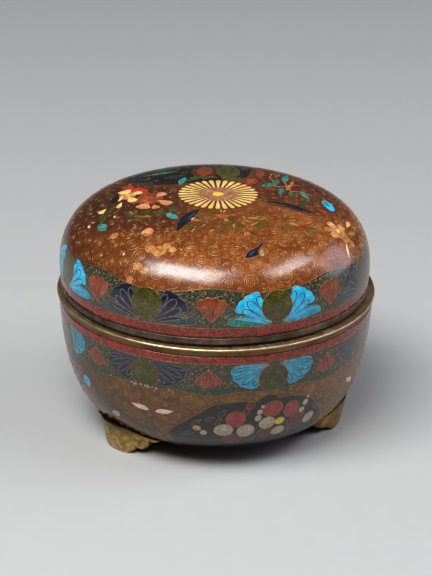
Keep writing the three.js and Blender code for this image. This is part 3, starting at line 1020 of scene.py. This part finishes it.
# The right panel: turquoise and green leaves on tan stems, a rose bud and a dark leaf along its edge.
stem_half_width = 0.24
for stem in ([(21.6, 14.0), (22.4, 10.0), (23.4, 5.4), (25.4, 1.0)],
             [(22.4, 10.0), (19.6, 8.6), (17.2, 9.6)], [(23.4, 5.4), (27.0, 6.2), (30.0, 4.4)],
             [(22.4, 10.0), (25.4, 12.4), (27.0, 12.0)], [(19.0, 12.0), (17.0, 17.0), (17.6, 22.0)]):
    stem = np.array(stem)
    flank = np.stack([-np.gradient(stem[:, 1]), np.gradient(stem[:, 0])], 1)
    flank *= stem_half_width / np.hypot(flank[:, 0], flank[:, 1])[:, None]
    crown(np.concatenate([stem + flank, (stem - flank)[::-1]]), "honey", wired=False)
crown_leaves(leaf, (
    (14.0, 22.0, 3.0, 12.0, 2, "rust"), (11.2, 12.4, 3.8, 6.4, 20, "rose"),
    (11.0, 12.6, 1.8, 3.6, 20, "ember"), (16.6, 9.8, 3.2, 5.6, 60, "sea_green"),
    (18.9, 12.8, 2.0, 6.4, 16, "sea_green"), (22.0, 18.2, 2.2, 9.0, 6, "aqua"),
    (24.0, 13.4, 1.2, 5.0, 8, "honey"), (22.8, 9.0, 1.6, 6.0, 10, "honey"),
    (20.4, 4.6, 2.0, 6.6, 8, "sea_green"), (23.8, 2.1, 2.3, 6.0, -8, "leaf_green"),
    (23.6, 2.9, 1.2, 3.0, -8, "sea_green"), (27.6, 3.6, 2.0, 6.6, -22, "aqua"),
    (30.5, 1.4, 1.9, 5.4, -8, "leaf_green"), (27.2, -3.0, 1.9, 5.2, 12, "leaf_green"),
    (16.8, 6.6, 1.0, 3.6, 100, "bright_red"), (33.2, -6.6, 1.6, 4.6, 120, "rose"),
    (38.0, 6.0, 1.8, 5.6, 30, "leaf_green"), (19.6, 21.0, 1.2, 5.0, 20, "ember")))
crown(smoothed([(-2.2, 0.6), (-1.9, 3.0), (-0.4, 4.2), (2.0, 0.8), (2.3, -2.4), (1.0, -3.8), (-0.6, -2.4)]),
      "turquoise", 0, (35.2, -0.9))
crown(smoothed([(-1.6, 0.6), (-1.3, 2.4), (-0.3, 3.2), (0.8, 0.6), (0.6, -1.4)]), "aqua", 0, (35.0, -0.9),
      wired=False)
crown(leaf(2.4, 21.5, -1.4), "night", 110.5, (12.2, -4.2))
crown(leaf(1.2, 12.0, -0.5), "navy", 111, (18.4, -7.2), wired=False)
crown(leaf(0.5, 6.0, -0.2), "slate", 111, (20.4, -7.6), wired=False)

# A pale blossom at the right shoulder, on its stem.
crown(oval(6.4, 6.0), "honey", 0, (38.6, -15.8), wired=False)
crown_leaves(drop_petal, (
    (36.6, -14.2, 2.8, 4.4, -60, "peach"), (39.4, -13.2, 2.6, 3.8, 10, "peach"),
    (40.6, -17.0, 2.8, 4.2, 120, "honey"), (37.4, -18.2, 2.6, 3.8, 200, "peach"),
    (43.4, -16.4, 2.0, 4.4, 100, "honey"), (41.9, -8.6, 1.7, 5.2, 12, "cream"),
    (43.4, -12.0, 1.4, 4.6, 40, "honey"), (35.4, -17.2, 1.8, 3.6, -110, "honey")))
crown(oval(1.6, 1.6, 10), "cream", 0, (38.4, -15.6), wired=False)
crown(leaf(1.1, 6.0, 0.4), "cream", 150, (41.6, -18.6))

# A small dark bird flies across the front right of the crown.
crown([(0, 0), (-0.8, -1.2), (-2.0, -3.0), (-3.2, -4.2), (-4.6, -5.4), (-5.4, -7.0), (-6.0, -8.8),
       (-4.6, -8.4), (-2.6, -7.4), (-1.4, -6.6), (-1.8, -5.0), (-0.9, -3.0), (-0.1, -1.2)],
      "navy", 0, (14.9, -31.3))
crown([(0, 0), (0.9, -1.0), (1.0, -2.6), (0.1, -3.0), (-0.5, -1.6)], "tan", 0, (14.0, -35.2))
crown(leaf(0.8, 3.2), "slate", 218, (12.2, -36.2), wired=False)

# Fans of fine grass lie before the medallion, some with an ember-coloured heart, and cloudy honey
# patches and pale specks lie at the front left shoulder.
dice = random.Random(31)
for x, y, reach, lean, opening, count, heart in (
        (-1.6, -20.6, 5.2, -120, 150, 15, False), (2.0, -17.6, 4.6, 0, 330, 19, True),
        (6.4, -20.4, 5.2, 170, 160, 15, False), (10.4, -21.6, 5.6, 60, 160, 16, False),
        (14.6, -18.6, 5.4, -80, 150, 14, False), (20.0, -19.6, 5.8, 90, 160, 17, False),
        (8.6, -25.6, 4.2, 200, 130, 11, False), (-5.4, -24.4, 4.0, 230, 130, 11, False),
        (1.4, -25.4, 4.4, 150, 140, 11, False), (27.0, -19.0, 4.8, 100, 120, 9, False),
        (-24.0, -16.6, 5.0, 20, 200, 13, False), (-17.0, -20.0, 3.6, 160, 120, 7, False)):
    if heart:
        crown(oval(4.4, 3.0), "ember", lean, (x, y), wired=False)
    for i in range(count):
        turn = lean + opening * (i / (count - 1) - 0.5) + dice.uniform(-5, 5)
        swing = math.radians(turn)
        root = reach * dice.uniform(0.25, 0.5)
        blade = leaf(dice.uniform(0.4, 0.75), reach * dice.uniform(0.45, 0.75), dice.uniform(-0.4, 0.4), 7)
        crown(blade, dice.choice(("grass", "grass", "grass", "olive", "honey")), turn,
              (x + root * math.sin(swing), y + root * math.cos(swing)), wired=False)
for x, y, size in ((-19.6, -34.6, 3.6), (-17.0, -36.2, 4.4), (-14.6, -34.6, 3.0), (-12.8, -36.4, 2.4),
                   (-24.4, -39.6, 3.4), (-22.2, -41.6, 2.6), (-27.5, -43.0, 2.6), (-31.0, -24.5, 3.0)):
    cloud = [(size * dice.uniform(0.4, 0.62) * math.sin(k * TURN / 9), size * dice.uniform(0.36, 0.55)
              * math.cos(k * TURN / 9)) for k in range(9)]
    crown(smoothed(cloud), "honey", 15, (x, y), wired=False)
for x, y, size in ((-28.2, -33.8, 0.8), (-10.2, -36.6, 0.5), (-3.0, -31.0, 0.35), (18.0, -27.0, 0.35)):
    crown(oval(size, size * 0.8, 8), "pale_rose", 30, (x, y), wired=False)

# The medallion: thirty-two cream petals about a tan eye with fine rays and a yellow centre.
medallion_centre = (0.7, 0.3)
medallion_reach = 12.4
medallion_petals = 32
medallion_petal = [(-0.20, 5.4), (-0.72, 11.0), (-0.70, 11.9), (-0.38, 12.4), (0.38, 12.4), (0.70, 11.9),
                   (0.72, 11.0), (0.20, 5.4)]
crown(ring(medallion_reach - 0.2, 96), "brick", 0, medallion_centre, wired=False)
for i in range(medallion_petals):
    crown(medallion_petal, "cream", 360 * i / medallion_petals, medallion_centre)
crown(ring(5.9, 64), "ray_tan", 0, medallion_centre)
crown(ring(1.8, 28), "gold", 0, medallion_centre)
for i in range(medallion_petals):
    lid_picture.wire(on_chart(np.linspace(2.0, 5.8, 6), TURN * i / medallion_petals) + medallion_centre)

for ground, sizes, seed, pitch, tries, within, fill in (
        (("russet", "honey"), (2.7, 2.0, 1.3, 0.85, 0.6), 11, 0.66, 15000, (36, 60), 0.92),
        (("russet", "brick"), (2.2, 1.3, 0.8, 0.55), 15, 0.7, 11000, (12.8, 36), 0.92),
        (("moss",), (0.72, 0.5), 12, 0.8, 14000, (44, 64), 0.85),
        (("maroon", "brick"), (1.9, 1.2, 0.8), 13, 0.7, 7000, (10, 46), 0.92),
        (("night",), (1.3,), 14, 0.66, 2500, (10, 46), 0.92)):
    scrolls(lid_picture, ground, sizes, seed, pitch, tries, within, fill)

lid = enamel_shell("lid_enamel", lid_picture, "lining")
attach(lid, "root")
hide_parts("lid")
lid_wires = picture_wires("lid_wires", lid_picture)
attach(lid_wires, "root")


# ---- The lid's rim -------------------------------------------------------------------------------
# A narrow brass band soldered round the lid's lower edge. It has gone dark and dull, and shows
# some metal only along its middle where fingers lift it. Its lowest edge is darkened to black as a painted
# shade in the gap above the mount's ledge.
rim_dark = metal("rim_dark_brass", "2c2420 5a4c44 8a7a6c", cloud=8.0, roughness=0.48,
                 patina_and_shade="0c0806", patina_and_shade_from=(rim_low.z + 0.9, rim_low.z + 0.4), scratch=0.15)
rim_inner, rim_outer = lid_base_radius - 1.9, lid_base_radius + 0.28
rim_tuck = lid_base_radius - 0.5
rim_seam_z = lid_low.z - 0.02
rim_profile = (
    [(rim_inner, rim_low.z), (rim_tuck, rim_low.z)]
    + arc((lid_base_radius - 0.35, rim_low.z + 0.4), 0.45, -70, 0, 5)
    + [(rim_outer, (rim_low.z + rim_high.z) / 2)]
    + arc((lid_base_radius - 0.1, rim_high.z - 0.25), 0.35, 10, 80, 4)
    + [(rim_tuck, rim_seam_z), (rim_inner, rim_seam_z)]
)
lid_rim = turned_ring("lid_band", rim_profile, lid_shift, rim_dark)
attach(lid_rim, "root")
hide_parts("lid_rim")


# ---- The feet ------------------------------------------------------------------------------------
# Three cast brass brackets soldered under the bowl. Each has a broad lobe that stands on the table,
# a notch, a small lobe and an upswept wing on either side, and its back follows the bowl's wall.
foot_bearings = (-51.0, 84.0, 196.5)
foot_half_width = 15.8
foot_top_z, foot_tip_z = 9.7, 6.2
foot_least_height = 0.2
foot_shoulder_power = 2.6
foot_bulge, foot_rise = 0.035, 0.2
lobe_flat, first_notch, second_notch, notch_z = 4.6, 7.8, 11.8, 3.0
side_lobe, side_lobe_half, side_lobe_z, side_lobe_drop = 9.8, 2.0, 3.6, 1.6
wing_tip, wing_half, wing_z, wing_drop = 13.6, 1.9, 5.6, 1.5
foot_thickness, foot_thinnest = 2.2, 0.35
foot_solder_gap, foot_cover = 0.03, 0.9
foot_chamfer, foot_chamfer_share = 0.35, 0.12
crease_depth, crease_width, crease_height = 0.42, 0.5, 6.0
crest_depth, crest_width, crest_drop = 0.3, 0.55, 1.5
foot_centre_radius = 40.4
foot_columns, foot_rows = 132, 18
foot_brass = metal("foot_brass", "6a5030 a88650 e0c088", cloud=1.8, roughness=0.38,
                   patina_and_shade="4a4a1e", patina_and_shade_from=(5.0, 9.5), scratch=0.5)


def lobe(share):
    return math.sqrt(max(1 - min(max(share, 0.0), 1.0) ** 2, 0.0))


def foot_lower_z(across_mm):
    """Height of the foot's lower edge: the broad lobe, then the small lobe, then the wing."""
    u = abs(across_mm)
    if u <= first_notch:
        return notch_z * (1 - lobe((u - lobe_flat) / (first_notch - lobe_flat)))
    if u <= second_notch:
        return side_lobe_z - side_lobe_drop * lobe(abs(u - side_lobe) / side_lobe_half)
    return wing_z - wing_drop * lobe(abs(u - wing_tip) / wing_half)


def foot_upper_z(across_mm):
    drop = foot_top_z - foot_tip_z
    return foot_top_z - drop * (abs(across_mm) / foot_half_width) ** foot_shoulder_power


def bowl_radius_at(z):
    return float(np.interp(z, bowl_wall.heights, bowl_wall.radii, left=0.0))


def foot_groove(across_mm, z):
    """Depth of the creases that run up from the notches and lean towards the middle of the foot,
    and of the long one that follows the foot's upper edge."""
    depth = 0.0
    for notch, lean in ((first_notch, 0.55), (second_notch, 0.75)):
        away = (abs(across_mm) - notch + lean * (z - notch_z)) / crease_width
        depth += crease_depth * math.exp(-away ** 2) * max(0.0, 1 - (z - notch_z) / crease_height)
    below = (foot_upper_z(across_mm) - z - crest_drop) / crest_width
    return depth + crest_depth * math.exp(-below ** 2)


def bracket_foot(name, bearing):
    """The bent plate, as a grid on its outer face, a grid on its back, and the edge between them."""
    vertices, faces = [], []
    rows, columns = foot_rows, foot_columns
    for back in (False, True):
        for column in range(columns + 1):
            u = foot_half_width * (2 * column / columns - 1)
            low = foot_lower_z(u)
            high = max(foot_upper_z(u), low + foot_least_height)
            angle = math.radians(bearing) + u / foot_centre_radius
            for row in range(rows + 1):
                t = row / rows
                z = low + (high - low) * t
                wall_radius = bowl_radius_at(z)
                outer = max(foot_centre_radius - foot_bulge * u * u + foot_rise * z, wall_radius + foot_cover)
                outer -= foot_chamfer * max(0.0, 1 - t / foot_chamfer_share) ** 2 + foot_groove(u, z)
                radius = outer
                if back:
                    radius = max(outer - foot_thickness, wall_radius + foot_solder_gap)
                    radius = min(radius, outer - foot_thinnest)
                vertices.append((radius * math.sin(angle) * MM, -radius * math.cos(angle) * MM, z * MM))

    def at(side, column, row):
        return (side * (columns + 1) + column) * (rows + 1) + row

    for c in range(columns):
        d = c + 1
        for r in range(rows):
            faces.append((at(0, c, r), at(0, d, r), at(0, d, r + 1), at(0, c, r + 1)))
            faces.append((at(1, c, r), at(1, c, r + 1), at(1, d, r + 1), at(1, d, r)))
        faces.append((at(1, c, 0), at(1, d, 0), at(0, d, 0), at(0, c, 0)))
        faces.append((at(0, c, rows), at(0, d, rows), at(1, d, rows), at(1, c, rows)))
    for r in range(rows):
        faces.append((at(1, 0, r), at(0, 0, r), at(0, 0, r + 1), at(1, 0, r + 1)))
        faces.append((at(0, columns, r), at(1, columns, r), at(1, columns, r + 1), at(0, columns, r + 1)))
    piece = shaped(name, vertices, faces, [foot_brass])
    piece.data.set_sharp_from_angle(angle=math.radians(48))
    return piece


for number, bearing in enumerate(foot_bearings, 1):
    foot_piece = bracket_foot(f"bracket_foot_{number}", bearing)
    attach(foot_piece, "root")
    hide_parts(f"foot_{number}")
